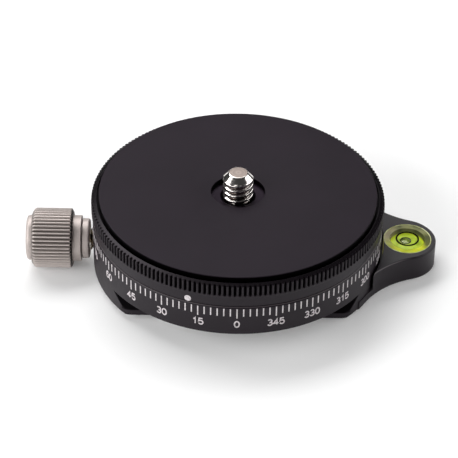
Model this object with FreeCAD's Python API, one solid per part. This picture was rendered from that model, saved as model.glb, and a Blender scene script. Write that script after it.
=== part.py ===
import FreeCAD, Part
import math
import os

# Panoramic tripod head: a knurled platform that turns on a base with a degree drum, a dovetail foot,
# a lock knob and a round level. Millimetres. The origin is the mouth of the tripod thread in the middle
# of the foot's underside. +Z is up, +X points to the level and -Y is the side with the scale's zero.

# Base drum and the platform above it
drum_radius = 29.8
drum_height = 10.6
drum_top_bevel = 0.3
drum_bottom_bevel = 0.4
turning_gap = 0.5
rim_overhang = 0.2
rim_height = 5.05
rim_bevel_width = 1.1
rim_bevel_drop = 0.38
rim_bottom_bevel = 0.1

# Straight knurl round the rim: V flutes that run out at its top, above a plain band that is set in
knurl_count = 189
knurl_flute_depth = 0.38
knurl_flute_width = 0.68
knurl_band_height = 2.45
knurl_skirt = 0.25
band_inset = 0.4

# Pad in the platform's top, inside a narrow groove
pad_thickness = 1.03
pad_proud = 0.95
pad_groove_width = 0.5
pad_groove_depth = 0.6
pad_hole_radius = 5.5
pad_edge_bevel = 0.12

# Camera screw, 1/4 inch with 20 threads to the inch
camera_thread_radius = 3.1
camera_root_radius = 2.75
camera_screw_rise = 4.72
camera_screw_length = 12.0
camera_tip_bevel = 1.02
camera_mouth_bevel = 0.89
camera_neck = 0.3
camera_key_across_flats = 3.175
camera_key_depth = 2.6

# White index dot on the plain band, turned clockwise from the zero side as seen from above
index_angle = 18.7
index_radius = 0.7
index_height = 0.9
index_depth = 0.45

# Tripod thread, 3/8 inch with 16 threads to the inch, in a steel insert in the bottom cover's boss
tripod_thread_radius = 3.97
tripod_thread_length = 7.0
insert_wall = 1.83
boss_wall = 2.2
boss_clearance = 0.6
boss_head_room = 2.3

# Hub under the platform, hollow over the boss, and what it turns in
hub_wall = 4.4
running_clearance = 0.04
bore_clearance = 0.3
bush_wall = 1.46
bush_length = 3.5
glide_ring_inset = 0.7
glide_ring_width = 5.8
glide_ring_seat = 0.5

# Bottom cover and, above it, the retaining plate under the hub with its countersunk screws
cover_floor = 1.1
cover_rim_height = 2.2
cover_rim_wall = 1.4
cover_ledge = 1.5
cover_spanner_radius = 1.0
cover_spanner_depth = 0.8
cover_spanner_spread = 11.8
cover_gap = 0.3
plate_thickness = 0.8
plate_overhang = 1.6
plate_side_clearance = 0.3
lower_ring_thickness = 0.4
plate_screw_count = 3
plate_screw_radius = 1.0
plate_screw_head = 0.7
plate_screw_length = 4.4

# Dovetail foot along X
dovetail_neck = 33.2
dovetail_width = 38.8
dovetail_ceiling = 4.05
lip_corner_radius = 3.2

# Level arm
arm_nose_reach = 4.5
arm_nose_radius = 6.8
arm_flare_radius = 18.0
arm_top = 5.7
arm_edge_bevel = 0.3
arm_slot_width = 0.55
arm_slot_depth = 3.75
arm_root_step = 0.2
arm_root_half_angle = 34.0

# Round level, with its centre a little beyond the nose's
level_offset = 0.9
level_radius = 5.0
level_height = 4.6
level_wall = 1.5
level_roof = 1.1
level_dome_rise = 0.3
level_backing_thickness = 0.8
bubble_radius = 1.08
bubble_thickness = 0.5
bubble_edge = 0.2
bubble_gap = 0.2
bubble_shift_x = -0.5
bubble_shift_y = -0.3

# Lock knob on the -X side
lock_height = 4.47
stud_radius = 2.4
stud_clearance = 0.05
lock_bush_wall = 0.95
lock_bush_recess = 0.4
collar_gap = 0.6
collar_radius = 4.13
collar_length = 1.55
collar_bevel = 0.45
knob_line = 0.22
knob_line_depth = 1.0
rear_collar_radius = 4.75
rear_collar_length = 1.75
grip_radius = 6.17
grip_length = 8.45
grip_bevel = 0.5
grip_flute_count = 48
grip_flute_depth = 0.3
grip_flute_width = 0.52
cap_radius = 4.69
cap_length = 1.2
cap_bevel = 0.3
cap_spigot_radius = 3.4
cap_spigot_length = 1.6

# Brake shoe between the stud and the hub
shoe_gap = 0.25
shoe_nose_radius = 1.6
shoe_nose_length = 3.95
shoe_head_ease = 0.05
shoe_head_length = 1.6
shoe_clearance = 0.05
shoe_pivot_radius = 1.0
shoe_pivot_length = 1.0
shoe_forward_room = 0.4
shoe_back_room = 0.8

# Radii that follow from the sizes above
platform_radius = drum_radius + rim_overhang
groove_radius = platform_radius - rim_bevel_width
band_radius = platform_radius - band_inset
pad_radius = groove_radius - pad_groove_width
pad_seat_radius = pad_radius - pad_edge_bevel
insert_outer_radius = tripod_thread_radius + insert_wall
boss_radius = insert_outer_radius + boss_wall
hub_hollow_radius = boss_radius + boss_clearance
hub_radius = hub_hollow_radius + hub_wall
bush_inner_radius = hub_radius + running_clearance
bush_outer_radius = bush_inner_radius + bush_wall
glide_ring_inner_radius = bush_outer_radius + glide_ring_inset
glide_ring_outer_radius = glide_ring_inner_radius + glide_ring_width
plate_radius = hub_radius + plate_overhang
plate_room_radius = plate_radius + plate_side_clearance
cover_radius = plate_room_radius + cover_ledge
neck_half = dovetail_neck / 2
lip_half = dovetail_width / 2
lock_bore_radius = stud_radius + stud_clearance

# Heights that follow
platform_bottom = drum_height + turning_gap
rim_top = platform_bottom + rim_height
pad_top = rim_top + pad_proud
pad_seat = pad_top - pad_thickness
knurl_bottom = platform_bottom + knurl_band_height
knurl_foot = knurl_bottom - knurl_skirt
groove_floor = pad_seat - pad_groove_depth
camera_tip = pad_top + camera_screw_rise
camera_foot = camera_tip - camera_screw_length
camera_mouth_foot = pad_seat - camera_mouth_bevel
plate_bottom = cover_floor + cover_gap
hub_bottom = plate_bottom + plate_thickness
flange_underside = hub_bottom + lower_ring_thickness
hollow_top = tripod_thread_length + boss_head_room
bush_bottom = drum_height - bush_length
glide_ring_bottom = drum_height - glide_ring_seat
lip_height = dovetail_ceiling - (lip_half - neck_half)
arm_slot_floor = arm_top - arm_slot_depth
level_bottom = arm_top - level_height
backing_top = level_bottom + level_backing_thickness
cavity_roof = arm_top - level_roof

# Places along X that follow
arm_nose_centre = drum_radius + arm_nose_reach
level_centre = arm_nose_centre + level_offset
shoe_face = -(hub_radius + shoe_gap)
shoe_shoulder = shoe_face - shoe_nose_length
stud_inner_end = shoe_shoulder - shoe_head_length
lock_bush_inner_end = stud_inner_end - shoe_back_room
lock_bush_outer_end = -(drum_radius - lock_bush_recess)
collar_face = -(drum_radius + collar_gap)
collar_back = collar_face - collar_length
rear_collar_face = collar_back - knob_line
grip_face = rear_collar_face - rear_collar_length
grip_back = grip_face - grip_length
cap_end = grip_back - cap_length
cap_spigot_end = grip_back + cap_spigot_length


def turned(profile):
    """A solid of revolution about Z from (radius, height) corners."""
    corners = [FreeCAD.Vector(r, 0, z) for r, z in profile]
    return spun(Part.makePolygon(corners + [corners[0]]))


def spun(wire):
    return Part.Face(wire).revolve(FreeCAD.Vector(0, 0, 0), FreeCAD.Vector(0, 0, 1), 360)


def cylinder(radius, bottom, top, x=0, y=0):
    return Part.makeCylinder(radius, top - bottom, FreeCAD.Vector(x, y, bottom))


def ring(outer, inner, bottom, top):
    return cylinder(outer, bottom, top).cut(cylinder(inner, bottom, top))


def along_lock(shape):
    """Turns a solid that was made about Z so that its Z lies along X, on the lock's axis."""
    placed = shape.copy()
    placed.rotate(FreeCAD.Vector(0, 0, 0), FreeCAD.Vector(0, 1, 0), 90)
    placed.translate(FreeCAD.Vector(0, 0, lock_height))
    return placed


def at_level(shape, x=0, y=0):
    """Moves a solid that was made about Z to the level's axis."""
    placed = shape.copy()
    placed.translate(FreeCAD.Vector(level_centre + x, y, 0))
    return placed


def fluted(solid, radius, count, depth, width, bottom, top):
    """Cuts upright V flutes round a turned solid, with a rib on the X axis."""
    outside = radius + depth
    corners = [(radius - depth, 0), (outside, width), (outside, -width)]
    points = [FreeCAD.Vector(x, y, bottom) for x, y in corners]
    vee = Part.Face(Part.makePolygon(points + [points[0]])).extrude(FreeCAD.Vector(0, 0, top - bottom))
    flutes = []
    for i in range(count):
        flute = vee.copy()
        flute.rotate(FreeCAD.Vector(0, 0, 0), FreeCAD.Vector(0, 0, 1), 360 * (i + 0.5) / count)
        flutes.append(flute)
    return solid.cut(flutes)


def index_dot():
    """The round plug of paint that fills the index dimple, curved like the band."""
    start = FreeCAD.Vector(0, -band_radius - index_depth, platform_bottom + index_height)
    plug = Part.makeCylinder(index_radius, 2 * index_depth, start, FreeCAD.Vector(0, 1, 0))
    plug.rotate(FreeCAD.Vector(0, 0, 0), FreeCAD.Vector(0, 0, 1), -index_angle)
    return plug.common(cylinder(band_radius, platform_bottom, rim_top))


def rotating_platform():
    """The turning top: rim, seat for the pad, threaded centre and the hollow hub below."""
    blank = turned([
        (camera_root_radius, hollow_top),
        (hub_hollow_radius, hollow_top),
        (hub_hollow_radius, hub_bottom),
        (hub_radius, hub_bottom),
        (hub_radius, platform_bottom),
        (band_radius - rim_bottom_bevel, platform_bottom),
        (band_radius, platform_bottom + rim_bottom_bevel),
        (band_radius, knurl_foot - band_inset / 2),
        (platform_radius, knurl_foot),
        (platform_radius, rim_top - rim_bevel_drop),
        (groove_radius, rim_top),
        (groove_radius, groove_floor),
        (pad_seat_radius, groove_floor),
        (pad_seat_radius, pad_seat),
        (camera_root_radius + camera_mouth_bevel, pad_seat),
        (camera_root_radius, camera_mouth_foot),
    ])
    screw_top = plate_bottom + plate_screw_length
    holes = [cylinder(plate_screw_radius, hub_bottom, screw_top, x, y) for x, y in plate_screw_places()]
    blank = fluted(blank, platform_radius, knurl_count, knurl_flute_depth, knurl_flute_width, knurl_bottom, rim_top)
    return blank.cut(holes).cut(index_dot())


def top_pad():
    return turned([
        (pad_hole_radius, pad_seat),
        (pad_radius, pad_seat),
        (pad_radius, pad_top - pad_edge_bevel),
        (pad_radius - pad_edge_bevel, pad_top),
        (pad_hole_radius + pad_edge_bevel, pad_top),
        (pad_hole_radius, pad_top - pad_edge_bevel),
    ])


def camera_screw():
    """The stud, drawn at its root where it is screwed in and at its crest where it stands free."""
    neck_top = pad_seat + camera_neck
    stud = turned([
        (0, camera_foot),
        (camera_root_radius, camera_foot),
        (camera_root_radius, neck_top),
        (camera_thread_radius, neck_top),
        (camera_thread_radius, camera_tip - camera_tip_bevel),
        (camera_thread_radius - camera_tip_bevel, camera_tip),
        (0, camera_tip),
    ])
    return stud.cut(hexagon(camera_key_across_flats, camera_foot, camera_foot + camera_key_depth))


def hexagon(across_flats, bottom, top):
    corner = across_flats / math.sqrt(3)
    points = []
    for i in range(7):
        angle = math.pi * i / 3
        points.append(FreeCAD.Vector(corner * math.cos(angle), corner * math.sin(angle), bottom))
    return Part.Face(Part.makePolygon(points)).extrude(FreeCAD.Vector(0, 0, top - bottom))


def plate_screw_places():
    """Evenly spread, in the middle of the hub's wall."""
    middle = hub_radius - hub_wall / 2
    places = []
    for i in range(plate_screw_count):
        angle = 2 * math.pi * (i + 0.5) / plate_screw_count
        places.append((middle * math.cos(angle), middle * math.sin(angle)))
    return places


def plate_screw(x, y):
    """A countersunk screw whose head is flush with the plate's underside."""
    screw = turned([
        (0, plate_bottom),
        (plate_screw_radius + plate_screw_head, plate_bottom),
        (plate_screw_radius, plate_bottom + plate_screw_head),
        (plate_screw_radius, plate_bottom + plate_screw_length),
        (0, plate_bottom + plate_screw_length),
    ])
    screw.translate(FreeCAD.Vector(x, y, 0))
    return screw


def retaining_screws():
    return Part.makeCompound([plate_screw(x, y) for x, y in plate_screw_places()])


def retaining_plate():
    plate = ring(plate_radius, hub_hollow_radius, plate_bottom, hub_bottom)
    return plate.cut([plate_screw(x, y) for x, y in plate_screw_places()])


def lower_glide_washer():
    return ring(plate_radius, hub_radius + bore_clearance, hub_bottom, flange_underside)


def upper_glide_washer():
    return ring(glide_ring_outer_radius, glide_ring_inner_radius, glide_ring_bottom, platform_bottom)


def bearing_bush():
    return ring(bush_outer_radius, bush_inner_radius, bush_bottom, drum_height)


def bottom_cover():
    """Threaded disc with a rim, a boss for the thread insert and two holes for a pin spanner."""
    disc = turned([
        (insert_outer_radius, 0),
        (cover_radius, 0),
        (cover_radius, cover_rim_height),
        (cover_radius - cover_rim_wall, cover_rim_height),
        (cover_radius - cover_rim_wall, cover_floor),
        (boss_radius, cover_floor),
        (boss_radius, tripod_thread_length),
        (insert_outer_radius, tripod_thread_length),
    ])
    holes = []
    for side in (-1, 1):
        holes.append(cylinder(cover_spanner_radius, 0, cover_spanner_depth, 0, side * cover_spanner_spread))
    return disc.cut(holes)


def tripod_thread_insert():
    return ring(insert_outer_radius, tripod_thread_radius, 0, tripod_thread_length)


def arm_outline():
    """Plan of the level arm: a round nose, concave flanks, and a root that wraps the drum to a small step."""
    root_radius = drum_radius + arm_root_step
    reach = root_radius + arm_flare_radius
    grasp = arm_nose_radius + arm_flare_radius
    flare_x = (reach ** 2 + arm_nose_centre ** 2 - grasp ** 2) / (2 * arm_nose_centre)
    flare_y = math.sqrt(reach ** 2 - flare_x ** 2)
    root_angle = math.atan2(flare_y, flare_x)
    nose_angle = math.atan2(flare_y, flare_x - arm_nose_centre)
    step_angle = math.radians(arm_root_half_angle)

    def arc(side, centre_x, centre_y, radius, first, last):
        points = []
        for angle in (first, (first + last) / 2, last):
            x = centre_x + radius * math.cos(angle)
            y = centre_y + radius * math.sin(angle)
            points.append(FreeCAD.Vector(x, side * y, 0))
        return Part.Arc(*points).toShape()

    edges = [arc(1, arm_nose_centre, 0, arm_nose_radius, nose_angle, -nose_angle)]
    for side in (-1, 1):
        step = FreeCAD.Vector(root_radius * math.cos(step_angle), side * root_radius * math.sin(step_angle), 0)
        edges.append(Part.makeLine(FreeCAD.Vector(0, 0, 0), step))
        edges.append(arc(side, 0, 0, root_radius, step_angle, root_angle))
        edges.append(arc(side, flare_x, flare_y, arm_flare_radius, root_angle + math.pi, nose_angle + math.pi))
    return Part.Face(Part.Wire(Part.__sortEdges__(edges)))


def level_arm():
    """The arm as a bevelled plate, set off from the drum's scale by an arc-shaped slot."""
    arm = arm_outline().extrude(FreeCAD.Vector(0, 0, arm_top))
    outline_edges = []
    for edge in arm.Edges:
        flat = edge.BoundBox.ZLength < 0.001
        curved = edge.Curve.TypeId == "Part::GeomCircle"
        if flat and curved:
            outline_edges.append(edge)
    arm = arm.makeChamfer(arm_edge_bevel, outline_edges)
    slot = ring(drum_radius + arm_slot_width, drum_radius, arm_slot_floor, arm_top)
    pocket = at_level(cylinder(level_radius, level_bottom, arm_top))
    return arm.cut([slot, pocket])


def dovetail_cutter(side):
    """What is milled away along one side of the foot: a 45 degree undercut above an upright lip."""
    outside = drum_radius + 1
    below = -1
    corners = [
        (lip_half, below),
        (lip_half, lip_height),
        (neck_half, dovetail_ceiling),
        (outside, dovetail_ceiling),
        (outside, below),
    ]
    points = [FreeCAD.Vector(-outside, side * y, z) for y, z in corners]
    face = Part.Face(Part.makePolygon(points + [points[0]]))
    return face.extrude(FreeCAD.Vector(2 * outside, 0, 0))


def eased_lip_ends(drum):
    """Rounds the four upright corners where the lips end at the drum's face."""
    corner_x = math.sqrt(drum_radius ** 2 - lip_half ** 2)
    corners = []
    for edge in drum.Edges:
        box = edge.BoundBox
        upright = box.XLength < 0.001 and box.YLength < 0.001
        at_corner = abs(abs(box.Center.x) - corner_x) < 0.01 and abs(abs(box.Center.y) - lip_half) < 0.01
        if upright and at_corner:
            corners.append(edge)
    return drum.makeFillet(lip_corner_radius, corners)


def base_body():
    """Drum, dovetail foot and level arm in one piece, bored for the hub and for the lock."""
    drum = turned([
        (0, 0),
        (drum_radius - drum_bottom_bevel, 0),
        (drum_radius, drum_bottom_bevel),
        (drum_radius, drum_height - drum_top_bevel),
        (drum_radius - drum_top_bevel, drum_height),
        (0, drum_height),
    ])
    drum = eased_lip_ends(drum.cut([dovetail_cutter(-1), dovetail_cutter(1)]))
    body = drum.fuse(level_arm()).removeSplitter()
    bores = [
        cylinder(cover_radius, 0, cover_rim_height),
        cylinder(plate_room_radius, 0, flange_underside),
        cylinder(hub_radius + bore_clearance, 0, drum_height),
        cylinder(bush_outer_radius, bush_bottom, drum_height),
        ring(glide_ring_outer_radius, glide_ring_inner_radius, glide_ring_bottom, drum_height),
    ]
    return body.cut(bores + lock_bores())


def lock_bores():
    """Stepped radial bore: bush seat, room for the stud's end and shoe head, and the nose's guide."""
    head_bore_end = shoe_shoulder + shoe_forward_room
    outside = -(drum_radius + 1)
    seat = cylinder(lock_bore_radius + lock_bush_wall, outside, lock_bush_inner_end)
    head_bore = cylinder(lock_bore_radius, lock_bush_inner_end, head_bore_end)
    nose_bore = cylinder(shoe_nose_radius + shoe_clearance, head_bore_end, -hub_radius)
    return [along_lock(seat), along_lock(head_bore), along_lock(nose_bore)]


def lock_thread_bush():
    outer = lock_bore_radius + lock_bush_wall
    return along_lock(ring(outer, lock_bore_radius, lock_bush_outer_end, lock_bush_inner_end))


def brake_shoe():
    """Stepped plug with a hollow nose that matches the hub, and a socket for the stud's pivot."""
    head_radius = stud_radius - shoe_head_ease
    plug = turned([
        (0, stud_inner_end),
        (head_radius, stud_inner_end),
        (head_radius, shoe_shoulder),
        (shoe_nose_radius, shoe_shoulder),
        (shoe_nose_radius, -hub_radius),
        (0, -hub_radius),
    ])
    socket = cylinder(shoe_pivot_radius + shoe_clearance, stud_inner_end, stud_inner_end + shoe_pivot_length)
    plug = along_lock(plug.cut(socket))
    return plug.cut(cylinder(hub_radius + shoe_gap, 0, drum_height))


def lock_stud():
    """The threaded stud with a pivot at its inner end and its outer end held in the grip."""
    pivot_end = stud_inner_end + shoe_pivot_length
    return along_lock(turned([
        (0, cap_spigot_end),
        (stud_radius, cap_spigot_end),
        (stud_radius, stud_inner_end),
        (shoe_pivot_radius, stud_inner_end),
        (shoe_pivot_radius, pivot_end),
        (0, pivot_end),
    ]))


def knob_grip():
    """Fluted barrel with bevelled ends and the rear collar turned on it."""
    blank = turned([
        (cap_spigot_radius, grip_back),
        (grip_radius - grip_bevel, grip_back),
        (grip_radius, grip_back + grip_bevel),
        (grip_radius, grip_face - grip_bevel),
        (grip_radius - grip_bevel, grip_face),
        (rear_collar_radius, grip_face),
        (rear_collar_radius, rear_collar_face),
        (stud_radius, rear_collar_face),
        (stud_radius, cap_spigot_end),
        (cap_spigot_radius, cap_spigot_end),
    ])
    grip = fluted(blank, grip_radius, grip_flute_count, grip_flute_depth, grip_flute_width, grip_back, grip_face)
    return along_lock(grip)


def knob_cap():
    return along_lock(turned([
        (0, cap_end),
        (cap_radius - cap_bevel, cap_end),
        (cap_radius, cap_end + cap_bevel),
        (cap_radius, grip_back),
        (cap_spigot_radius, grip_back),
        (cap_spigot_radius, cap_spigot_end),
        (0, cap_spigot_end),
    ]))


def knob_collar():
    """The collar next to the drum, with a neck that leaves a shadow line before the grip."""
    neck_radius = collar_radius - knob_line_depth
    return along_lock(turned([
        (stud_radius, rear_collar_face),
        (neck_radius, rear_collar_face),
        (neck_radius, collar_back),
        (collar_radius, collar_back),
        (collar_radius, collar_face - collar_bevel),
        (collar_radius - collar_bevel, collar_face),
        (stud_radius, collar_face),
    ]))


def level_cavity():
    """The vial's inside, with a shallow dome under which the bubble rides."""
    radius = level_radius - level_wall
    shoulder = cavity_roof - level_dome_rise
    sphere_radius = (radius ** 2 + level_dome_rise ** 2) / (2 * level_dome_rise)
    halfway = radius / 2
    halfway_height = cavity_roof - sphere_radius + math.sqrt(sphere_radius ** 2 - halfway ** 2)
    floor_centre = FreeCAD.Vector(0, 0, backing_top)
    floor_edge = FreeCAD.Vector(radius, 0, backing_top)
    wall_top = FreeCAD.Vector(radius, 0, shoulder)
    dome_top = FreeCAD.Vector(0, 0, cavity_roof)
    dome = Part.Arc(wall_top, FreeCAD.Vector(halfway, 0, halfway_height), dome_top).toShape()
    sides = Part.makePolygon([dome_top, floor_centre, floor_edge, wall_top])
    return at_level(spun(Part.Wire(sides.Edges + [dome])))


def level_vial():
    cup = at_level(cylinder(level_radius, level_bottom, arm_top))
    return cup.cut([level_backing(), level_cavity()])


def level_backing():
    return at_level(cylinder(level_radius - level_wall, level_bottom, backing_top))


def level_bubble():
    """A flat bubble with bevelled edges just under the dome, a little off the middle."""
    top = cavity_roof - bubble_gap
    bottom = top - bubble_thickness
    return at_level(turned([
        (0, bottom),
        (bubble_radius - bubble_edge, bottom),
        (bubble_radius, bottom + bubble_edge),
        (bubble_radius, top - bubble_edge),
        (bubble_radius - bubble_edge, top),
        (0, top),
    ]), bubble_shift_x, bubble_shift_y)


def level_fluid():
    return level_cavity().cut(level_bubble())


pieces = [
    base_body, bearing_bush, upper_glide_washer, lower_glide_washer,
    bottom_cover, tripod_thread_insert, lock_thread_bush,
    level_vial, level_backing, level_fluid, level_bubble,
    rotating_platform, top_pad, camera_screw, index_dot, retaining_plate, retaining_screws,
    brake_shoe, lock_stud, knob_grip, knob_cap, knob_collar,
]

os.makedirs("parts", exist_ok=True)
for make_piece in pieces:
    make_piece().exportStep("parts/" + make_piece.__name__ + ".step")
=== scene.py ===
"""Looks of a panoramic tripod head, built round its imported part.

Sizes and places are millimetres, also in the materials. The stage alone is laid out in metres.
"""
import math

import bpy
import bmesh
import numpy as np
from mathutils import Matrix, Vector


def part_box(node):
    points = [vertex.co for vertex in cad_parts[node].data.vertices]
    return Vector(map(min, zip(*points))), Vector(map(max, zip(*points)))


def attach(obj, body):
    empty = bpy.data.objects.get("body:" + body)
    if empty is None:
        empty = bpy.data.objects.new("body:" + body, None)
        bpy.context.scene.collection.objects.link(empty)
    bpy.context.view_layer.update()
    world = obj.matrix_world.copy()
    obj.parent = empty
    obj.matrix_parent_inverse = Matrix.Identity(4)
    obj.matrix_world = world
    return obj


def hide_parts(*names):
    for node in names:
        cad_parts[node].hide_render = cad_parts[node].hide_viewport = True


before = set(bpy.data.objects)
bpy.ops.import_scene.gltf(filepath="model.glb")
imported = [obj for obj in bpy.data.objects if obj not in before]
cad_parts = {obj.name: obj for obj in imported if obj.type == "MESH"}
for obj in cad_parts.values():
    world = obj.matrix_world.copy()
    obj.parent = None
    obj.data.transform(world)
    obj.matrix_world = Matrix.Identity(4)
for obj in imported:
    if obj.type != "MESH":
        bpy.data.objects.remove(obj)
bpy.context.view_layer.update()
MM = 0.001
TAU = 2 * math.pi


# Sizes that the part gives

def span(node, axis):
    """Lowest and highest place of one of the part's nodes along an axis."""
    return [round(corner["XYZ".index(axis)] / MM, 2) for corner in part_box(node)]


DRUM_RADIUS = span("base_body", "Y")[1]
DRUM_TOP = span("base_body", "Z")[1]
RING_RADIUS = span("rotating_platform", "Y")[1]
HUB_FOOT, RING_TOP = span("rotating_platform", "Z")
PAD_RADIUS = span("top_pad", "X")[1]
PAD_SEAT, PAD_TOP = span("top_pad", "Z")
SCREW_RADIUS = span("camera_screw", "X")[1]
SCREW_TOP = span("camera_screw", "Z")[1]
LOCK_HEIGHT = sum(span("knob_collar", "Z")) / 2
STUD_RADIUS = LOCK_HEIGHT - span("lock_stud", "Z")[0]
CAP_END = span("knob_cap", "X")[0]
GRIP_END, GRIP_FACE = span("knob_grip", "X")
STUD_TIP = span("lock_stud", "X")[1]
LEVEL_X = sum(span("level_vial", "X")) / 2
LEVEL_FOOT, LEVEL_TOP = span("level_vial", "Z")
FLUID_FLOOR, FLUID_TOP = span("level_fluid", "Z")
INSERT_RADIUS = span("tripod_thread_insert", "X")[1]
INSERT_TOP = span("tripod_thread_insert", "Z")[1]


# Sizes of the finer forms

GROOVE_RADIUS = 28.9
BAND_RADIUS = 29.68
SLOT_FOOT = 13.55
PAD_HOLE = 5.5
SCREW_PITCH = 25.4 / 20
SCREW_ROOT = 2.5
SCREW_TIP = 1.8
GRIP_RADIUS = 6.17
GRIP_SHOULDER = GRIP_FACE - 1.75
REAR_COLLAR_RADIUS = 4.75
ARM_TOP = 5.7
TRIPOD_PITCH = 25.4 / 16


# Node trees

class Value:
    """A number socket of a node tree, for use in Python expressions."""

    def __init__(self, nodes, socket):
        self.nodes = nodes
        self.socket = socket

    def math(self, operation, first, second=0.0, clamp=False):
        return self.nodes.node("Math", {"operation": operation, "use_clamp": clamp}, {0: first, 1: second})

    def __add__(self, other):
        return self.math("ADD", self, other)

    __radd__ = __add__

    def __sub__(self, other):
        return self.math("SUBTRACT", self, other)

    def __rsub__(self, other):
        return self.math("SUBTRACT", other, self)

    def __mul__(self, other):
        return self.math("MULTIPLY", self, other)

    __rmul__ = __mul__

    def __truediv__(self, other):
        return self.math("DIVIDE", self, other)

    def __rtruediv__(self, other):
        return self.math("DIVIDE", other, self)

    def __pow__(self, other):
        return self.math("POWER", self, other)

    def __rpow__(self, other):
        return self.math("POWER", other, self)

    def clamped(self):
        return self.math("ADD", self, 0.0, clamp=True)

    def rise(self, low, high):
        """0 below low, 1 above high, a straight run between."""
        return ((self - low) / (high - low)).clamped()

    def fall(self, low, high):
        """1 below low, 0 above high, a straight run between."""
        return 1 - self.rise(low, high)


class Nodes:
    """A node tree, in which one method makes every node."""

    def __init__(self, tree):
        self.tree = tree
        tree.nodes.clear()

    def node(self, kind, settings=None, inputs=None, out=0):
        """A new node: its settings first, then its sockets. Gives an output, or the node if it has none."""
        made = self.tree.nodes.new("ShaderNode" + kind)
        for key, value in (settings or {}).items():
            setattr(made, key, value)
        for key, value in (inputs or {}).items():
            self.feed(made.inputs[key], value)
        if len(made.outputs) == 0:
            return made
        socket = made.outputs[out]
        return Value(self, socket) if socket.type == "VALUE" else socket

    def feed(self, socket, value):
        if isinstance(value, Value):
            value = value.socket
        if isinstance(value, bpy.types.NodeSocket):
            self.tree.links.new(value, socket)
        else:
            socket.default_value = value


class Finish(Nodes):
    """One material. Its shader takes constants at once, and what varies through put()."""

    def __init__(self, name, **constants):
        self.material = bpy.data.materials.new(name)
        self.material.use_nodes = True
        super().__init__(self.material.node_tree)
        self.shader = self.node("BsdfPrincipled")
        self.end = self.node("OutputMaterial", None, {"Surface": self.shader})
        self.put(**constants)

    def put(self, **inputs):
        for socket, value in inputs.items():
            self.feed(self.shader.node.inputs[socket.replace("_", " ")], value)

    def place(self):
        """The point on the surface, in metres."""
        return self.node("TexCoord", out="Object")

    def along(self, axis):
        """The place along an axis, in millimetres."""
        return self.node("SeparateXYZ", None, {0: self.place()}, "XYZ".index(axis)) / MM

    def from_upright(self, centre_x=0.0):
        """Distance from an upright axis."""
        across = self.along("X") - centre_x if centre_x else self.along("X")
        return away(across, self.along("Y"))

    def from_lock(self):
        """Distance from the lock's axis."""
        return away(self.along("Y"), self.along("Z") - LOCK_HEIGHT)

    def grain(self, size, detail=2.0, stretch=(1, 1, 1)):
        """Even noise, 0 to 1, whose lumps are about size across."""
        scaled = self.node("VectorMath", {"operation": "MULTIPLY"}, {0: self.place(), 1: stretch})
        return self.node("TexNoise", None, {"Vector": scaled, "Scale": 1 / (size * MM), "Detail": detail})

    def rings(self, distance, spacing, start=0.0):
        """Fine uneven lines such as a lathe leaves, one about every spacing."""
        return self.node("TexNoise", {"noise_dimensions": "1D"},
                         {"W": distance + start, "Scale": 1 / spacing, "Detail": 3.0, "Roughness": 0.7})

    def mix(self, factor, below, above):
        """One colour over another, by a 0 to 1 factor."""
        # a Mix node's colour sockets share their names with others, so they go by number
        below, above = ((*side, 1.0) if isinstance(side, tuple) else side for side in (below, above))
        return self.node("Mix", {"data_type": "RGBA"}, {0: factor, 6: below, 7: above}, 2)

    def relief(self, height, depth, strength=1.0, surface=None):
        """A normal from a 0 to 1 height that is depth deep, over the surface's own normal or another."""
        inputs = {"Strength": strength, "Distance": depth * MM, "Height": height}
        if surface:
            inputs["Normal"] = surface
        return self.node("Bump", None, inputs)


def away(first, second):
    """Distance from an axis, by the places on the two axes across it."""
    return (first * first + second * second) ** 0.5


def srgb(red, green, blue):
    """A linear colour from 0 to 255 display values."""
    return tuple(((v / 255 + 0.055) / 1.055) ** 2.4 if v > 10 else v / 255 / 12.92
                 for v in (red, green, blue))


# Finishes of the black pieces

def black_anodised(name, painted_light=None):
    """Fine blasted aluminium, dyed black: satin, edges a little eased. painted_light adds painted shade and
    highlights.
    """
    made = Finish(name, IOR=1.5, Specular_IOR_Level=0.30)
    fine = made.grain(0.16, 3.0)
    broad = made.grain(9.0, 2.0)
    colour = made.mix((fine * 0.55 + broad * 0.45).rise(0.3, 0.7), srgb(20, 12, 20), srgb(29, 21, 29))
    rough = 0.38 + broad * 0.10 + fine * 0.10
    if painted_light:
        colour, rough = painted_light(made, colour, rough, made.from_upright(), made.along("Z"))
    turned = made.rings(made.along("Z"), 0.22)
    eased = made.node("Bevel", {"samples": 6}, {"Radius": 0.1 * MM})
    normal = made.relief(fine * 0.7 + turned * 0.3, 0.012, 0.6, eased)
    made.put(Base_Color=colour, Roughness=rough, Normal=normal)
    return made


def base_marks(made, colour, rough, distance, height):
    """Painted shade on the jaw faces under the drum; painted highlight lines on the drum's top edge and the
    arm's.
    """
    lip, roof = 1.1, 4.2
    # painted shade: the jaw faces under the drum's skirt are coloured near-black and made metallic
    jaw_shade = height.rise(lip, lip + 0.2) * height.fall(roof, roof + 0.2)
    jaw_shade = jaw_shade * distance.fall(DRUM_RADIUS - 0.15, DRUM_RADIUS - 0.07) * 0.8
    # painted highlight: a light line along the drum's top edge and along the arm's top edge
    drum = height.rise(DRUM_TOP - 0.14, DRUM_TOP - 0.10)
    drum = drum * distance.rise(DRUM_RADIUS - 0.4, DRUM_RADIUS - 0.3)
    arm = height.rise(ARM_TOP - 0.24, ARM_TOP - 0.20) * height.fall(ARM_TOP - 0.08, ARM_TOP - 0.04)
    arm = arm * distance.rise(DRUM_RADIUS + 0.3, DRUM_RADIUS + 0.5)
    arm = arm * made.along("X").fall(LEVEL_X - 2.7, LEVEL_X + 0.8)
    colour = made.mix(jaw_shade, colour, srgb(4, 3, 4))
    made.put(Metallic=jaw_shade)
    return made.mix(drum * 0.6 + arm * 0.8, colour, srgb(93, 86, 89)), rough


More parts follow.
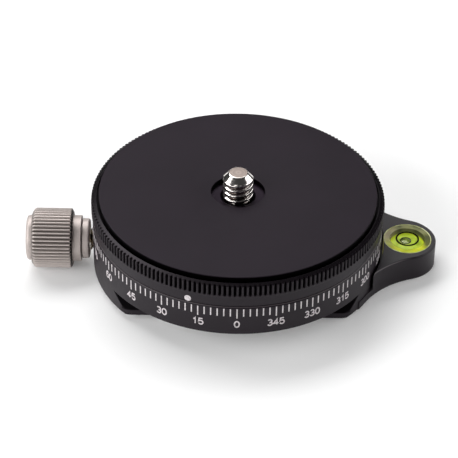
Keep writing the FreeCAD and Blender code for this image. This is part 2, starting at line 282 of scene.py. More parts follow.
def ring_marks(made, colour, rough, distance, height):
    """Painted shade: black in the rim's slots and the groove, and darker on the recess floor and the sloping
    land.
    """
    # painted shade: the slots and the groove are coloured near-black
    slots = distance.fall(RING_RADIUS - 0.45, RING_RADIUS - 0.05)
    slots = slots * height.rise(SLOT_FOOT - 0.2, SLOT_FOOT - 0.1)
    slots = slots * height.fall(RING_TOP - 0.37, RING_TOP - 0.25)
    groove = distance.rise(PAD_RADIUS - 0.4, PAD_RADIUS - 0.2)
    groove = groove * distance.fall(GROOVE_RADIUS - 0.04, GROOVE_RADIUS + 0.02)
    dark = (slots + groove).clamped()
    # painted shade: the recess floor is coloured darker and made metallic, so it reflects little
    recess = distance.fall(PAD_HOLE + 0.1, PAD_HOLE + 0.3)
    # painted shade: the sloping land is darker in colour
    land = distance.rise(GROOVE_RADIUS + 0.03, GROOVE_RADIUS + 0.08)
    land = land * distance.fall(RING_RADIUS - 0.24, RING_RADIUS - 0.14)
    land = land * height.rise(RING_TOP - 0.43, RING_TOP - 0.35)
    colour = made.mix(dark, colour, srgb(3, 1, 3))
    colour = made.mix(recess, colour, srgb(27, 21, 28))
    made.put(Metallic=(dark + recess + land * 0.6).clamped())
    return made.mix(land * 0.5, colour, srgb(9, 6, 9)), rough - land * 0.17


def pad_black():
    """The platform's top: a matte black sheet with a very fine tooth, and painted shade on its cut edge."""
    made = Finish("pad_black", IOR=1.5, Specular_IOR_Level=0.12)
    tooth = made.grain(0.11, 2.0)
    cloud = made.grain(14.0, 3.0)
    face = made.mix((tooth * 0.4 + cloud * 0.6).rise(0.3, 0.7), srgb(28, 21, 29), srgb(36, 29, 37))
    # painted shade: the cut edge below the top face is coloured near-black and made metallic
    cut = made.along("Z").fall(PAD_TOP - 0.2, PAD_TOP - 0.04)
    made.put(
        Base_Color=made.mix(cut, face, srgb(4, 3, 4)),
        Metallic=cut,
        Roughness=0.56 + tooth * 0.08 + cloud * 0.06,
        Normal=made.relief(tooth, 0.010, 0.5),
    )
    return made


# Finishes of the metal and plastic pieces

def bright_steel():
    """The camera screw: nickelled and rolled, mirror-like, with painted shade in its thread and a dull
    turned end.
    """
    made = Finish("bright_steel", Metallic=1.0)
    distance, height = made.from_upright(), made.along("Z")
    lines = made.rings(distance, 0.12)
    fine = made.grain(0.4, 3.0)
    end = height.rise(SCREW_TOP - 0.06, SCREW_TOP - 0.04)
    end = end * distance.fall(SCREW_TIP + 0.01, SCREW_TIP + 0.05)
    # painted shade: the thread's roots are coloured dark
    thread = distance.fall(SCREW_ROOT + 0.06, SCREW_ROOT + 0.3)
    thread = thread * height.fall(SCREW_TOP - 0.97, SCREW_TOP - 0.82)
    bare = made.mix(fine, (0.80, 0.76, 0.73), (0.93, 0.89, 0.86))
    bare = made.mix(thread, bare, (0.10, 0.075, 0.065))
    turned = made.rings(distance, 0.45, 200.0).rise(0.3, 0.7)
    made.put(
        Base_Color=made.mix(end, bare, made.mix(turned, srgb(116, 106, 101), srgb(142, 131, 125))),
        Roughness=0.10 + fine * 0.06 + end * 0.34,
        Normal=made.relief(lines * end + fine * 0.3, 0.004, 0.6),
    )
    return made


def stud_steel():
    """The lock stud: turned steel with painted shade, dark brown, in the thread's roots."""
    made = Finish("stud_steel", Metallic=1.0)
    fine = made.grain(0.3, 3.0)
    # painted shade: below the crests the thread is coloured dark brown
    crest = made.from_lock().rise(STUD_RADIUS - 0.45, STUD_RADIUS - 0.2)
    bare = made.mix(fine, (0.72, 0.68, 0.62), (0.88, 0.84, 0.78))
    made.put(
        Base_Color=made.mix(crest, (0.16, 0.12, 0.08), bare),
        Roughness=0.22 + fine * 0.12,
        Normal=made.relief(fine, 0.004, 0.5),
    )
    return made


def warm_grey_anodised():
    """The knob: satin aluminium, dyed a warm grey; painted shade darkens its flutes and blackens their
    run-out; painted highlights on crests.
    """
    made = Finish("warm_grey_anodised", Metallic=0.6, IOR=1.5, Specular_IOR_Level=0.3)
    distance, along = made.from_lock(), made.along("X")
    facing = made.rings(distance, 0.14, 300.0)
    turning = made.rings(along, 0.16)
    fine = made.grain(0.18, 2.0)
    # painted shade: the flutes are coloured darker
    flute_shade = distance.rise(REAR_COLLAR_RADIUS, REAR_COLLAR_RADIUS + 0.1)
    flute_shade = flute_shade * distance.fall(GRIP_RADIUS - 0.45, GRIP_RADIUS - 0.13)
    # painted highlight: the crests are coloured lighter
    crest = distance.rise(GRIP_RADIUS - 0.13, GRIP_RADIUS - 0.01)
    # the flutes run out on a cone that starts near the grip's shoulder
    cone_foot, cone_slope = 5.41, 1.64
    # painted shade: black on the cone where the flutes run out
    run_out_shade = (distance - (cone_foot + (GRIP_SHOULDER - along) * cone_slope)).rise(0.0, 0.03)
    run_out_shade = run_out_shade * along.fall(GRIP_SHOULDER + 0.01, GRIP_SHOULDER + 0.04)
    dye = (fine * 0.5 + turning * 0.5).rise(0.25, 0.75)
    colour = made.mix(dye, srgb(180, 170, 166), srgb(205, 195, 190))
    colour = made.mix(flute_shade * 0.7, colour, srgb(88, 82, 78))
    colour = made.mix(crest * 0.4, colour, srgb(231, 222, 217))
    made.put(
        Base_Color=made.mix(run_out_shade, colour, srgb(8, 6, 6)),
        Roughness=0.46 + fine * 0.10 + facing * 0.06,
        Normal=made.relief(facing * 0.5 + turning * 0.5, 0.006, 0.5),
    )
    return made


def turned_metal(name, spacing, patch, shades, rough, spread):
    """Bare turned metal: fine lines from the lathe and a patchy colour, which both spread its roughness."""
    made = Finish(name, Metallic=1.0)
    lines = made.rings(made.along("Z") + made.from_upright(), spacing)
    smear = made.grain(patch, 3.0)
    made.put(
        Base_Color=made.mix(smear.rise(0.3, 0.7), *shades),
        Roughness=rough + lines * spread[0] + smear * spread[1],
        Normal=made.relief(lines, 0.006, 0.6),
    )
    return made


def turned_bronze():
    """The two bushes."""
    shades = srgb(150, 112, 62), srgb(196, 158, 98)
    return turned_metal("turned_bronze", 0.15, 2.5, shades, 0.26, (0.14, 0.1))


def turned_steel():
    """The tripod thread's insert, and the retaining plate with its screws."""
    shades = srgb(160, 160, 162), srgb(196, 195, 194)
    return turned_metal("turned_steel", 0.13, 3.0, shades, 0.24, (0.16, 0.08))


def natural_acetal():
    """The glide washers and the brake shoe: off-white plastic, slightly waxy."""
    made = Finish("natural_acetal", Subsurface_Weight=0.15, Subsurface_Scale=0.001, IOR=1.48)
    cloud = made.grain(3.0, 3.0)
    fine = made.grain(0.2, 2.0)
    made.put(
        Base_Color=made.mix(cloud.rise(0.3, 0.7), srgb(226, 224, 214), srgb(238, 237, 230)),
        Roughness=0.36 + fine * 0.14,
        Normal=made.relief(fine, 0.005, 0.4),
    )
    return made


def dial_paint(name, dark, light):
    """Pale paint of the scale and the dot, a little worn and grey."""
    made = Finish(name, IOR=1.45, Specular_IOR_Level=0.3)
    worn = made.grain(0.5, 3.0)
    speck = made.grain(0.12, 2.0)
    made.put(
        Base_Color=made.mix((worn * 0.6 + speck * 0.4).rise(0.3, 0.62), dark, light),
        Roughness=0.45 + speck * 0.2,
        Normal=made.relief(speck, 0.006, 0.5),
    )
    return made


# Finishes of the level

def black_ink():
    """The ring printed on the level's dome."""
    made = Finish("black_ink", IOR=1.5, Specular_IOR_Level=0.02)
    speck = made.grain(0.1, 2.0)
    made.put(Base_Color=made.mix(speck, srgb(3, 3, 2), srgb(9, 10, 5)), Roughness=0.5 + speck * 0.2)
    return made


def clear_acrylic():
    """The moulded vial, clear over the fluid; its wall has painted refraction, lime in front and olive grey
    behind.
    """
    made = Finish("clear_acrylic", IOR=1.49, Specular_IOR_Level=0.06, Emission_Strength=0.25)
    across, back = made.along("X") - LEVEL_X, made.along("Y")
    streak = made.grain(2.2, 1.5, (1, 1, 0.2))
    wall = away(across, back).rise(3.45, 3.7)
    # painted refraction: the wall's colour turns from lime in front to olive grey behind
    painted_back_refraction = (back - across * 0.2).rise(-2.6, 1.4)
    # painted light: lighter brown grey on the left of the wall; painted shade: dark grey on the right
    left = across.fall(-4.4, -1.4) * back.rise(-3.0, -0.4)
    right = across.rise(2.6, 3.8) * back.rise(-3.2, -2.0) * back.fall(1.0, 2.4)
    olive = made.mix(streak.rise(0.35, 0.65), srgb(84, 89, 64), srgb(132, 133, 92))
    olive = made.mix(left * (0.5 + streak * 0.5), olive, srgb(172, 160, 124))
    lime = made.mix(streak.rise(0.3, 0.7), srgb(168, 177, 10), srgb(198, 203, 20))
    colour = made.mix(right * 0.85, made.mix(painted_back_refraction, lime, olive), srgb(62, 64, 57))
    # painted light: the wall glows faintly in its own colour
    made.put(Base_Color=colour, Emission_Color=colour, Roughness=0.10 + streak * 0.10)
    clear = made.node("BsdfTransparent", None, {"Color": (0.97, 0.98, 0.9, 1.0)})
    veil = (0.02 + wall * (0.7 + streak * 0.3)).clamped()
    seen = made.node("MixShader", None, {0: veil, 1: clear, 2: made.shader})
    made.feed(made.end.inputs["Surface"], seen)
    return made


def acrylic_bead():
    """A painted highlight: a pale, glossy ring along the vial's outer edge."""
    made = Finish("acrylic_bead", IOR=1.49, Specular_IOR_Level=0.8)
    streak = made.grain(1.2, 2.0)
    made.put(
        Base_Color=made.mix(streak.rise(0.35, 0.65), srgb(163, 165, 105), srgb(213, 217, 152)),
        Roughness=0.08 + streak * 0.08,
    )
    return made


def level_fluid():
    """The level's tinted spirit over its lime floor: brighter and yellower towards the rim of the dome."""
    made = Finish("level_fluid", IOR=1.36, Specular_IOR_Level=0.2, Coat_Roughness=0.2,
                  Emission_Strength=0.25)
    swirl = made.grain(1.6, 2.0)
    edge = made.from_upright(LEVEL_X).rise(2.4, 3.6)
    middle = made.mix(swirl.rise(0.3, 0.7), srgb(172, 198, 62), srgb(204, 224, 82))
    colour = made.mix(edge * 0.8, middle, srgb(220, 234, 33))
    # painted light: the spirit glows faintly in its own colour
    made.put(
        Base_Color=colour,
        Emission_Color=colour,
        Coat_Weight=swirl * 0.15,
        Roughness=0.25 + swirl * 0.1,
    )
    return made


def level_lime():
    """The disc that closes the vial from below."""
    made = Finish("level_lime", IOR=1.5)
    cloud = made.grain(1.2, 2.0)
    made.put(
        Base_Color=made.mix(cloud.rise(0.3, 0.7), srgb(205, 223, 53), srgb(223, 240, 80)),
        Roughness=0.4 + cloud * 0.1,
    )
    return made


def air_bubble():
    """The bubble's bright top under the dome: painted refraction of the lime below, with a faint painted
    glow.
    """
    made = Finish("air_bubble", IOR=1.33, Specular_IOR_Level=1.0, Emission_Strength=0.08)
    film = made.grain(0.5, 1.0)
    colour = made.mix(film.rise(0.35, 0.65), srgb(95, 113, 48), srgb(153, 169, 91))
    # painted light: a faint glow in the bubble's own colour
    made.put(Base_Color=colour, Emission_Color=colour, Roughness=0.06 + film * 0.08)
    return made


def meniscus():
    """Painted shade: a dark ring where the fluid meets the bubble."""
    made = Finish("meniscus", IOR=1.36)
    film = made.grain(0.4, 1.0)
    made.put(Base_Color=made.mix(film, srgb(22, 28, 10), srgb(46, 55, 19)), Roughness=0.1 + film * 0.1)
    return made


# Making a piece

def make_piece(name, points, faces, finish, body, slot, replaces=(), crease=32):
    """One named piece: normals outward, smooth between creases, riding on its body."""
    mesh = bpy.data.meshes.new(name)
    mesh.from_pydata((np.asarray(points, dtype=float) * MM).tolist(), [], faces)
    work = bmesh.new()
    work.from_mesh(mesh)
    bmesh.ops.recalc_face_normals(work, faces=work.faces)
    work.to_mesh(mesh)
    work.free()
    mesh.shade_smooth()
    mesh.set_sharp_from_angle(angle=math.radians(crease))
    mesh.materials.append(finish.material)
    piece = bpy.data.objects.new(name, mesh)
    bpy.context.collection.objects.link(piece)
    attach(piece, body)
    if replaces:
        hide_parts(*replaces)


def skin(grid, closed=True):
    """Faces over rows of points that run round an axis; an open stack gets a centre point at each end."""
    rows, columns = grid.shape[:2]
    points = grid.reshape(-1, 3)
    faces = []
    for i in range(rows if closed else rows - 1):
        upper = (i + 1) % rows
        for j in range(columns):
            k = (j + 1) % columns
            faces.append((i * columns + j, i * columns + k, upper * columns + k, upper * columns + j))
    if not closed:
        points = np.vstack([points, grid[0].mean(axis=0), grid[-1].mean(axis=0)])
        last = (rows - 1) * columns
        for j in range(columns):
            k = (j + 1) % columns
            faces.append((k, j, rows * columns))
            faces.append((last + j, last + k, rows * columns + 1))
    return points, faces


def rounded(corners, closed=True, steps=4):
    """(radius, height, fillet) corners to a list of (radius, height) with the fillets rounded."""
    line = []
    count = len(corners)
    for i, (r, z, fillet) in enumerate(corners):
        here = Vector((r, z))
        if not fillet or (not closed and i in (0, count - 1)):
            line.append((r, z))
            continue
        before = Vector(corners[i - 1][:2]) - here
        after = Vector(corners[(i + 1) % count][:2]) - here
        reach = fillet / math.tan(before.angle(after) / 2)
        start = here + before.normalized() * reach
        end = here + after.normalized() * reach
        for k in range(steps + 1):
            t = k / steps
            point = start * (1 - t) ** 2 + here * 2 * t * (1 - t) + end * t ** 2
            line.append((point.x, point.y))
    return line


def around(columns):
    """Even angles of a full turn."""
    return np.arange(columns) * TAU / columns


def oval(centre, reach, count):
    """The (radius, height) points of a small closed oval section."""
    return [(centre[0] + reach[0] * math.cos(a), centre[1] + reach[1] * math.sin(a)) for a in around(count)]


def about_z(rows, angle, centre=(0.0, 0.0)):
    """Rows of (radius, height), each a number or one value per angle, turned about an upright axis."""
    grid = np.zeros((len(rows), len(angle), 3))
    for i, (r, z) in enumerate(rows):
        grid[i, :, 0] = centre[0] + r * np.cos(angle)
        grid[i, :, 1] = centre[1] + r * np.sin(angle)
        grid[i, :, 2] = z
    return grid


def about_lock(rows, angle):
    """Rows of (radius, place along X), turned about the lock's axis."""
    upright = about_z(rows, angle)
    return np.stack([upright[:, :, 2], upright[:, :, 0], LOCK_HEIGHT + upright[:, :, 1]], axis=2)


def on_wall(wall, turn, across, height, lift):
    """A point on an upright wall, turn degrees to the left of the front, with across to the right."""
    angle = math.radians(-90 - turn) + across / wall
    radius = wall + lift
    return (radius * math.cos(angle), radius * math.sin(angle), height)


def thread_radius(angle, height, crest, root, pitch):
    """Radius of a right-hand V thread with a flat crest and root, at an angle and a height."""
    root_flat, flank = 0.12, 0.56
    turn = (height / pitch - angle / TAU) % 1.0
    rise = 1 - np.abs(turn - 0.5) * 2
    return root + (crest - root) * np.clip((rise - root_flat) / flank, 0, 1)


# The turning top

def ring_surface():
    """The platform's closed section as rows of points, with round-footed slots that cut its sloping land."""
    count, half, depth = 189, 0.3, 0.5
    land_slope, lean = 0.345, 0.3
    foot = SLOT_FOOT + half
    pitch = TAU * RING_RADIUS / count
    near = [0.15, 0.25, half - 0.005]
    offsets = np.array([0.0, *near, pitch / 2, *(pitch - step for step in reversed(near))])
    # each column's place across its own slot, its angle, and half the height of the slot's round foot there
    across = np.tile(np.where(offsets > pitch / 2, offsets - pitch, offsets), count)
    starts = np.repeat(np.arange(count), len(offsets)) * pitch
    angle = (starts + np.tile(offsets, count)) / RING_RADIUS + math.pi / count
    chord = np.sqrt(np.clip(half ** 2 - across ** 2, 0, None))
    slot = RING_RADIUS - depth * chord / half
    groove_floor, groove_inside = 15.5, PAD_RADIUS - 0.1
    rows = [(GROOVE_RADIUS, groove_floor), (GROOVE_RADIUS, RING_TOP - 0.05),
            (GROOVE_RADIUS + 0.05, RING_TOP - 0.02)]
    for r in (29.2, 29.45, 29.6, 29.75, 29.9, RING_RADIUS - 0.03):
        kept = np.minimum(r, slot)
        rows.append((kept, RING_TOP - (kept - GROOVE_RADIUS) * land_slope - (r - kept) * lean))
    rows += [(slot, RING_TOP - 0.55), (slot, foot)]
    for phase in (30, 60, 88):
        reach = math.cos(math.radians(phase))
        sunk = depth * np.sqrt(np.clip(1 - (across ** 2 + (chord * (1 - reach)) ** 2) / half ** 2, 0, 1))
        drop = np.maximum(chord, 0.07) * math.sin(math.radians(phase))
        rows.append((RING_RADIUS - sunk * reach, foot - drop))
    band_top, ring_foot = 13.08, 10.88
    hub, bore, web = 13.0, 8.6, 9.3
    screw_bore, mouth = 2.75, 0.89
    rows += rounded([
        (RING_RADIUS, band_top + 0.42, 0), (RING_RADIUS, band_top + 0.2, 0.06), (BAND_RADIUS, band_top, 0),
        (BAND_RADIUS, ring_foot, 0.12), (hub, ring_foot, 0), (hub, HUB_FOOT, 0.1), (bore, HUB_FOOT, 0.1),
        (bore, web, 0.3), (screw_bore, web, 0.1), (screw_bore, PAD_SEAT - mouth, 0),
        (screw_bore + mouth, PAD_SEAT, 0.1), (groove_inside, PAD_SEAT, 0),
        (groove_inside, groove_floor, 0),
    ], closed=False)
    return about_z(rows, angle)


def knurled_ring():
    """The platform with its knurled rim."""
    finish = black_anodised("ring_anodised", ring_marks)
    make_piece("knurled_ring", *skin(ring_surface()), finish, "platform", "black_anodised",
               ("rotating_platform",), crease=38)


def index_dot_paint(finish):
    """The white index dot, a thin round of paint on the plain band."""
    turn, height, radius = 18.7, 11.58, 0.68
    rows = [(0.1, -0.05), (radius, -0.05), (radius, 0.004), (radius - 0.06, 0.012), (0.1, 0.014)]
    flat = about_z(rows, around(40))
    grid = [[on_wall(BAND_RADIUS, turn, x, height + y, lift) for x, y, lift in row] for row in flat]
    make_piece("index_dot_paint", *skin(np.array(grid), closed=False), finish, "platform", "dot_white",
               ("index_dot",))


def platform_pad():
    """The black sheet set in the platform, with its recess."""
    floor = PAD_SEAT + 0.02
    rows = rounded([(PAD_HOLE, floor, 0), (PAD_RADIUS, floor, 0), (PAD_RADIUS, PAD_TOP, 0.16),
                    (PAD_HOLE, PAD_TOP, 0.1)])
    make_piece("platform_pad", *skin(about_z(rows, around(240))), pad_black(), "platform", "pad_black",
               ("top_pad",))


def camera_stud():
    """The camera screw with its rolled thread, chamfered tip and key socket underneath."""
    angle = around(96)
    across_flats, socket_floor = 3.175, 12.4
    head, neck, thread_start, phase = 9.84, 2.7, 15.75, 0.36
    cone_top, fade_start = 1.95, SCREW_TOP - 1.22
    run_in_slope, cone_slope, fade_slope = 1.2, 0.98, 4
    hexagon = across_flats / 2 / np.cos((angle % (math.pi / 3)) - math.pi / 6)
    rows = [(hexagon * 0.3, socket_floor), (hexagon, socket_floor), (hexagon, head), (SCREW_ROOT, head),
            (neck, head + 0.26), (neck, thread_start - 0.05)]
    for z in np.arange(thread_start + 0.1, SCREW_TOP - 0.22, 0.055):
        run_in = neck + 0.04 + (z - thread_start) * run_in_slope
        cone = cone_top + (SCREW_TOP - 0.02 - z) * cone_slope
        root = min(SCREW_RADIUS, SCREW_ROOT + max(0.0, z - fade_start) * fade_slope)
        thread = thread_radius(angle, z + phase, SCREW_RADIUS, root, SCREW_PITCH)
        rows.append((np.minimum(thread, min(SCREW_RADIUS, run_in, cone)), z))
    for reach, drop in ((0.27, 0.14), (0.2, 0.075), (0.14, 0.035), (0.08, 0.01), (0.0, 0.0), (-0.8, 0.0)):
        rows.append((SCREW_TIP + reach, SCREW_TOP - drop))
    make_piece("camera_stud", *skin(about_z(rows, angle), closed=False), bright_steel(), "platform",
               "bright_steel", ("camera_screw",), crease=50)


# The lock knob

STUD_BORE = STUD_RADIUS + 0.02


def grip_radius(angle, depth, count):
    """Flutes with a narrow round-topped rib between them."""
    width = 0.74
    away_from_middle = np.abs((angle * count / TAU) % 1.0 - 0.5) * 2
    return GRIP_RADIUS - depth * np.clip((width - away_from_middle) / width, 0, 1) ** 0.75


def knob_barrel(finish):
    """The fluted barrel and the collar turned on it."""
    flutes = 48
    angle = around(flutes * 10)
    fluted = grip_radius(angle, 0.56, flutes)
    collar, cap_bore, bore_floor = REAR_COLLAR_RADIUS, 3.42, -40.8
    front_bevel = ((5.5, 0.04), (5.75, 0.16), (5.92, 0.26), (6.05, 0.34), (6.13, 0.42), (GRIP_RADIUS, 0.5))
    back_bevel = ((GRIP_RADIUS, 0.85), (6.13, 0.66), (6.05, 0.5), (5.92, 0.36), (5.7, 0.24))
    rows = [(STUD_BORE, GRIP_FACE), (collar - 0.2, GRIP_FACE), (collar - 0.07, GRIP_FACE - 0.03),
            (collar, GRIP_FACE - 0.13), (collar, GRIP_SHOULDER), (5.35, GRIP_SHOULDER)]
    rows += [(np.minimum(fluted, reach), GRIP_SHOULDER - step) for reach, step in front_bevel]
    rows += [(fluted, x) for x in np.linspace(GRIP_SHOULDER - 0.6, GRIP_END + 0.95, 8)]
    rows += [(np.minimum(fluted, reach), GRIP_END + step) for reach, step in back_bevel]
    rows += [(5.4, GRIP_END), (cap_bore, GRIP_END), (cap_bore, bore_floor), (STUD_BORE, bore_floor)]
    make_piece("knob_barrel", *skin(about_lock(rows, angle)), finish, "knob", "titanium_grey",
               ("knob_grip",), crease=34)


def knob_end_cap(finish):
    """The smooth cap on the barrel's outer end, with its spigot."""
    spigot, spigot_end, cap = 3.4, -40.82, 4.69
    rows = rounded([(spigot, spigot_end, 0), (spigot, GRIP_END, 0), (cap, GRIP_END, 0.05),
                    (cap, CAP_END, 0.85), (2.0, CAP_END, 0)], closed=False, steps=8)
    make_piece("knob_end_cap", *skin(about_lock(rows, around(128)), closed=False), finish, "knob",
               "titanium_grey", ("knob_cap",))


def knob_front_collar(finish):
    """The narrower collar between the barrel and the drum."""
    collar, neck, back, front = 4.13, 3.2, GRIP_FACE + 0.2, -30.5
    rows = rounded([(STUD_BORE, GRIP_FACE, 0), (neck, GRIP_FACE, 0), (neck, back, 0), (collar, back, 0.12),
                    (collar, front, 0.5), (STUD_BORE, front, 0.1)], steps=7)
    make_piece("knob_front_collar", *skin(about_lock(rows, around(128))), finish, "knob", "titanium_grey",
               ("knob_collar",))


def lock_stud_thread():
    """The lock stud, with its thread where it can be seen and its pivot in the shoe."""
    angle = around(64)
    plain, root, pivot, shoulder, pitch = STUD_RADIUS - 0.02, 1.9, 1.0, STUD_TIP - 1.0, 0.8
    plain_from, plain_to, thread_from, thread_to = -40.7, -32.1, -31.0, -20.0
    rows = [(plain, plain_from), (plain, plain_to)]
    for x in np.arange(thread_from, thread_to, 0.1):
        rows.append((thread_radius(angle, x, STUD_RADIUS, root, pitch), x))
    rows += [(plain - 0.08, shoulder - 0.2), (plain, shoulder - 0.1), (plain, shoulder), (pivot, shoulder),
             (pivot, STUD_TIP)]
    make_piece("lock_stud_thread", *skin(about_lock(rows, angle), closed=False), stud_steel(), "knob",
               "bright_steel", ("lock_stud",), crease=50)


# The dial on the drum

LINE_STEP = 2.5
FIGURE_STEP = 15
ZERO_TURN = -0.37
PAINT_LIFT = 0.02
PAINT_SUNK = -0.04


def dial_lines(finish):
    """The scale's lines, with a longer one at each figure."""
    half, long_foot, short_foot, top = 0.125, 8.0, 8.45, 10.28
    points, faces = [], []
    for i in range(round(360 / LINE_STEP)):
        turn = i * LINE_STEP
        foot = short_foot if turn % FIGURE_STEP else long_foot
        start = len(points)
        for lift in (PAINT_SUNK, PAINT_LIFT):
            for across, height in ((-half, foot), (half, foot), (half, top), (-half, top)):
                points.append(on_wall(DRUM_RADIUS, turn + ZERO_TURN, across, height, lift))
        a, b, c, d, e, f, g, h = range(start, start + 8)
        faces += [(a, d, c, b), (e, f, g, h), (a, b, f, e), (b, c, g, f), (c, d, h, g), (d, a, e, h)]
    make_piece("dial_lines", points, faces, finish, "base", "dot_white")


def sweep(centre_x, centre_y, reach_x, reach_y, first, last, steps=14):
    """Points on an ellipse from one angle to another, in degrees."""
    run = [math.radians(first + (last - first) * k / steps) for k in range(steps + 1)]
    return [(centre_x + reach_x * math.cos(a), centre_y + reach_y * math.sin(a)) for a in run]


# Centre lines of the figures, 1.43 high, in plain rounded sans strokes; a loop closes on itself
FIGURES = {
    "0": [("loop", sweep(0, 0.715, 0.52, 0.715, 90, 435, 27))],
    "1": [("line", [(-0.30, 1.05), (-0.02, 1.20), (0.12, 1.40), (0.12, 0.0)])],
    "2": [("line", sweep(0, 1.02, 0.47, 0.41, 165, -38, 12) + [(-0.50, 0.02), (0.52, 0.02)])],
    "3": [("line", sweep(-0.02, 1.07, 0.42, 0.36, 150, -80, 12)
           + sweep(-0.02, 0.37, 0.49, 0.37, 80, -158, 14))],
    "4": [("line", [(0.20, 0.0), (0.20, 1.36), (-0.54, 0.36), (0.56, 0.36)])],
    "5": [("line", [(0.42, 1.43), (-0.34, 1.43), (-0.44, 0.74)]
           + sweep(0, 0.46, 0.50, 0.46, 128, -155, 15))],
    "6": [("line", sweep(0.05, 0.80, 0.54, 0.63, 55, 178, 9) + sweep(0, 0.45, 0.49, 0.45, 182, 525, 20))],
    "7": [("line", [(-0.50, 1.43), (0.50, 1.43), (0.12, 0.80), (-0.12, 0.0)])],
    "8": [("loop", sweep(0, 0.37, 0.50, 0.37, 90, 430, 20)),
          ("loop", sweep(0, 1.08, 0.41, 0.34, -90, 250, 18))],
    "9": [("line", sweep(-0.05, 0.63, 0.54, 0.63, 235, 358, 9) + sweep(0, 0.98, 0.49, 0.45, 2, 345, 20))],
}
STROKE = 0.15


def stroke_edges(line, looped):
    """Left and right edges of a stroke along a line of points, mitred at its corners."""
    path = [Vector(point) for point in line]
    count = len(path)
    edges = []
    for i, here in enumerate(path):
        before = path[i - 1] if looped or i else here
        after = path[(i + 1) % count] if looped or i < count - 1 else here
        arriving = (here - before) if here != before else (after - here)
        leaving = (after - here) if after != here else arriving
        one = Vector((-arriving.y, arriving.x)).normalized()
        two = Vector((-leaving.y, leaving.x)).normalized()
        middle = (one + two).normalized()
        shift = middle * STROKE / max(0.45, middle.dot(one))
        edges.append((here + shift, here - shift))
    return edges


def dial_figures(finish):
    """The scale's numbers, wrapped on the drum under their long lines."""
    foot, spacing, narrowing = 5.78, 1.22, 0.9
    points, faces = [], []
    for turn in range(0, 360, FIGURE_STEP):
        word = str(turn)
        for place, figure in enumerate(word):
            middle = (place - (len(word) - 1) / 2) * spacing
            for kind, line in FIGURES[figure]:
                looped = kind == "loop"
                start = len(points)
                for left, right in stroke_edges(line, looped):
                    for spot, lift in ((left, PAINT_SUNK), (right, PAINT_SUNK), (right, PAINT_LIFT),
                                       (left, PAINT_LIFT)):
                        points.append(on_wall(DRUM_RADIUS, turn + ZERO_TURN, middle + spot.x * narrowing,
                                              foot + spot.y, lift))
                count = len(line)
                for k in range(count if looped else count - 1):
                    here, ahead = start + 4 * k, start + 4 * ((k + 1) % count)
                    for side in range(4):
                        other = (side + 1) % 4
                        faces.append((here + side, here + other, ahead + other, ahead + side))
                if not looped:
                    last = start + 4 * (count - 1)
                    faces.append((start + 3, start + 2, start + 1, start))
                    faces.append((last, last + 1, last + 2, last + 3))
    make_piece("dial_figures", points, faces, finish, "base", "dot_white")


# The level

def level_pieces():
    """The vial with a painted highlight ring on its edge, fluid, backing disc, printed ring, and bubble with
    painted dark edge.
    """
    level_centre = (LEVEL_X, 0.0)
    bubble_centre = (LEVEL_X - 0.26, 0.62)

    def turned_piece(name, line, finish, slot, replaces=(), closed=False, centre=level_centre, columns=96):
        points, faces = skin(about_z(line, around(columns), centre), closed)
        make_piece(name, points, faces, finish, "base", slot, replaces)

    outer, inner = 4.95, 3.7
    foot, brim, crown = LEVEL_FOOT + 0.02, LEVEL_TOP - 0.06, LEVEL_TOP - 0.02
    outside = rounded([(inner - 0.1, foot, 0), (outer, foot, 0.1), (outer, brim, 0.22), (1.0, crown, 0)],
                      closed=False, steps=6)
    inside = rounded([(1.0, 5.16, 0), (inner, 5.02, 0.3), (inner, 1.5, 0)], closed=False, steps=5)
    cup = outside + [(0.002, crown), (0.002, 5.17)] + inside
    turned_piece("level_cup", cup, clear_acrylic(), "clear_acrylic", ("level_vial",), closed=True)
    # painted highlight: a pale ring along the cup's outer edge
    bead = oval((outer - 0.09, brim), (0.11, 0.09), 12)
    turned_piece("level_bead", bead, acrylic_bead(), "clear_acrylic", closed=True)

    wet, floor = inner - 0.1, FLUID_FLOOR + 0.02
    fluid = rounded([(0.8, floor, 0), (wet, floor, 0.05), (wet, FLUID_TOP, 0.3), (0.8, FLUID_TOP + 0.08, 0)],
                    closed=False)
    turned_piece("level_spirit", fluid, level_fluid(), "level_green", ("level_fluid",))
    disc, disc_top = 3.48, FLUID_FLOOR - 0.02
    backing = rounded([(0.8, foot, 0), (disc, foot, 0), (disc, disc_top, 0.1), (0.8, disc_top, 0)],
                      closed=False)
    turned_piece("level_backing_disc", backing, level_lime(), "level_lime", ("level_backing",))

    ring_in, ring_out, ring_foot, ring_top = 2.07, 2.43, 5.62, LEVEL_TOP + 0.02
    target = rounded([(ring_in, ring_foot, 0), (ring_out, ring_foot, 0), (ring_out, ring_top, 0.01),
                      (ring_in, ring_top, 0.01)])
    turned_piece("level_target_ring", target, black_ink(), "black_anodised", closed=True)
    bubble_top = 4.7
    dome = rounded([(0.2, 4.3, 0), (1.0, 4.3, 0.1), (0.97, bubble_top, 0.12), (0.2, bubble_top + 0.06, 0)],
                   closed=False, steps=6)
    turned_piece("level_air_bubble", dome, air_bubble(), "bubble_clear", ("level_bubble",),
                 centre=bubble_centre, columns=64)
    # painted shade: a dark ring round the bubble
    rim = oval((1.02, bubble_top), (0.16, 0.06), 10)
    turned_piece("level_meniscus", rim, meniscus(), "bubble_clear", closed=True, centre=bubble_centre,
                 columns=64)


# The tripod thread underneath

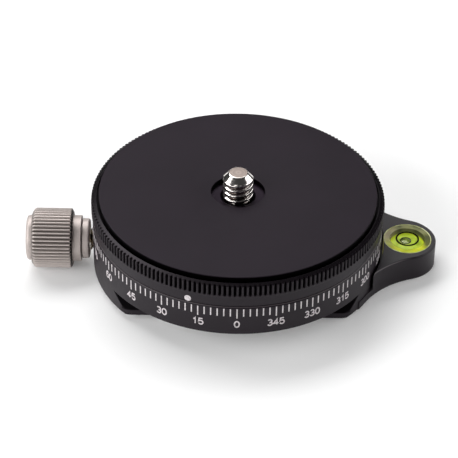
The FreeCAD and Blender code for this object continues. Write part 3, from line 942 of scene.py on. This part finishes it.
def tripod_thread_bush(finish):
    """The threaded insert in the middle of the foot."""
    angle = around(96)
    crest, root, mouth, depth = 3.96, 4.72, 0.02, 0.75
    thread_from, thread_to = 0.5, 6.6
    rows = [(root + 0.03, mouth)]
    for z in np.arange(thread_from, thread_to, 0.08):
        countersink = root - min(depth, z - mouth)
        rows.append((np.maximum(thread_radius(angle, z, crest, root, TRIPOD_PITCH), countersink), z))
    rows += [(root - 0.12, INSERT_TOP - 0.02), (INSERT_RADIUS - 0.02, INSERT_TOP - 0.02),
             (INSERT_RADIUS - 0.02, mouth)]
    make_piece("tripod_thread_bush", *skin(about_z(rows, angle)), finish, "base", "plain_steel",
               ("tripod_thread_insert",), crease=50)


def dress_cad_nodes(steel):
    """Better materials for the nodes whose shape stays."""
    bronze, acetal = turned_bronze(), natural_acetal()
    finishes = {
        "base_body": black_anodised("base_anodised", base_marks),
        "bottom_cover": black_anodised("cover_anodised"),
        "bearing_bush": bronze,
        "lock_thread_bush": bronze,
        "upper_glide_washer": acetal,
        "lower_glide_washer": acetal,
        "brake_shoe": acetal,
        "retaining_plate": steel,
        "retaining_screws": steel,
    }
    for name, finish in finishes.items():
        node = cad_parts[name]
        node.data.materials.clear()
        node.data.materials.append(finish.material)


# The stage, in metres

def paper_floor():
    """A pale floor that touches the knob's barrel and the arm's end, on which the head rests."""
    size = 3.0
    under_knob, under_arm = (-0.0422, -0.00172), (0.0408, -0.00002)
    slope = (under_arm[1] - under_knob[1]) / (under_arm[0] - under_knob[0])
    corners = [(x, y, under_arm[1] + (x - under_arm[0]) * slope)
               for x, y in ((-size, -size), (size, -size), (size, size), (-size, size))]
    mesh = bpy.data.meshes.new("floor")
    mesh.from_pydata(corners, [], [(0, 1, 2, 3)])
    floor = bpy.data.objects.new("floor", mesh)
    bpy.context.collection.objects.link(floor)
    paper = Finish("floor_paper", Specular_IOR_Level=0.1, Emission_Strength=1.0)
    mottle = paper.grain(60.0, 2.0)
    direct, mirrored, through = (paper.node("LightPath", out=f"Is {way} Ray")
                                 for way in ("Camera", "Glossy", "Transmission"))
    seen = (direct + mirrored + through).clamped()
    paper.put(
        Base_Color=paper.mix(mottle, (0.84, 0.84, 0.84), (0.86, 0.86, 0.86)),
        Roughness=0.8 + mottle * 0.1,
        Emission_Color=paper.mix(seen, (0.0, 0.0, 0.0), (0.14, 0.14, 0.14)),
    )
    mesh.materials.append(paper.material)


def softbox(name, place, size, power):
    """A soft lamp that points at the head."""
    lamp = bpy.data.lights.new(name, "AREA")
    lamp.shape = "RECTANGLE"
    lamp.size, lamp.size_y = size
    lamp.energy = power
    made = bpy.data.objects.new(name, lamp)
    made.location = place
    made.rotation_euler = (Vector((0, 0, 0.01)) - Vector(place)).to_track_quat("-Z", "Y").to_euler()
    bpy.context.collection.objects.link(made)


def dim_room():
    """Faint even light from all round."""
    world = bpy.data.worlds.new("studio")
    bpy.context.scene.world = world
    world.use_nodes = True
    nodes = Nodes(world.node_tree)
    room = nodes.node("Background", None, {"Color": (1, 1, 1, 1), "Strength": 0.045})
    nodes.node("OutputWorld", None, {"Surface": room})


def photo_camera():
    """The camera at the photograph's angle."""
    lens = bpy.data.cameras.new("camera")
    lens.lens = 175.378
    lens.sensor_width = 36.0
    lens.clip_start = 0.01
    camera = bpy.data.objects.new("camera", lens)
    camera.location = (0.0, -0.36813981, 0.28500142)
    camera.rotation_euler = tuple(math.radians(a) for a in (52.98255433, -0.62317740, 0.74124664))
    bpy.context.collection.objects.link(camera)
    bpy.context.scene.camera = camera


paper_floor()
softbox("left_softbox", (-0.80, -0.48, 0.46), (1.4, 0.56), 11.4)
softbox("back_softbox", (-0.28, 0.56, 0.80), (1.1, 0.5), 10.1)
softbox("right_softbox", (0.78, 0.02, 0.36), (1.1, 0.4), 3.8)
dim_room()
photo_camera()
bpy.context.scene.view_settings.view_transform = "Standard"

knurled_ring()
platform_pad()
camera_stud()
grey = warm_grey_anodised()
knob_barrel(grey)
knob_end_cap(grey)
knob_front_collar(grey)
lock_stud_thread()
paint = dial_paint("dial_paint", srgb(175, 168, 170), srgb(226, 219, 222))
index_dot_paint(paint)
dial_lines(dial_paint("line_paint", srgb(184, 178, 180), srgb(230, 224, 226)))
dial_figures(paint)
level_pieces()
steel = turned_steel()
tripod_thread_bush(steel)
dress_cad_nodes(steel)
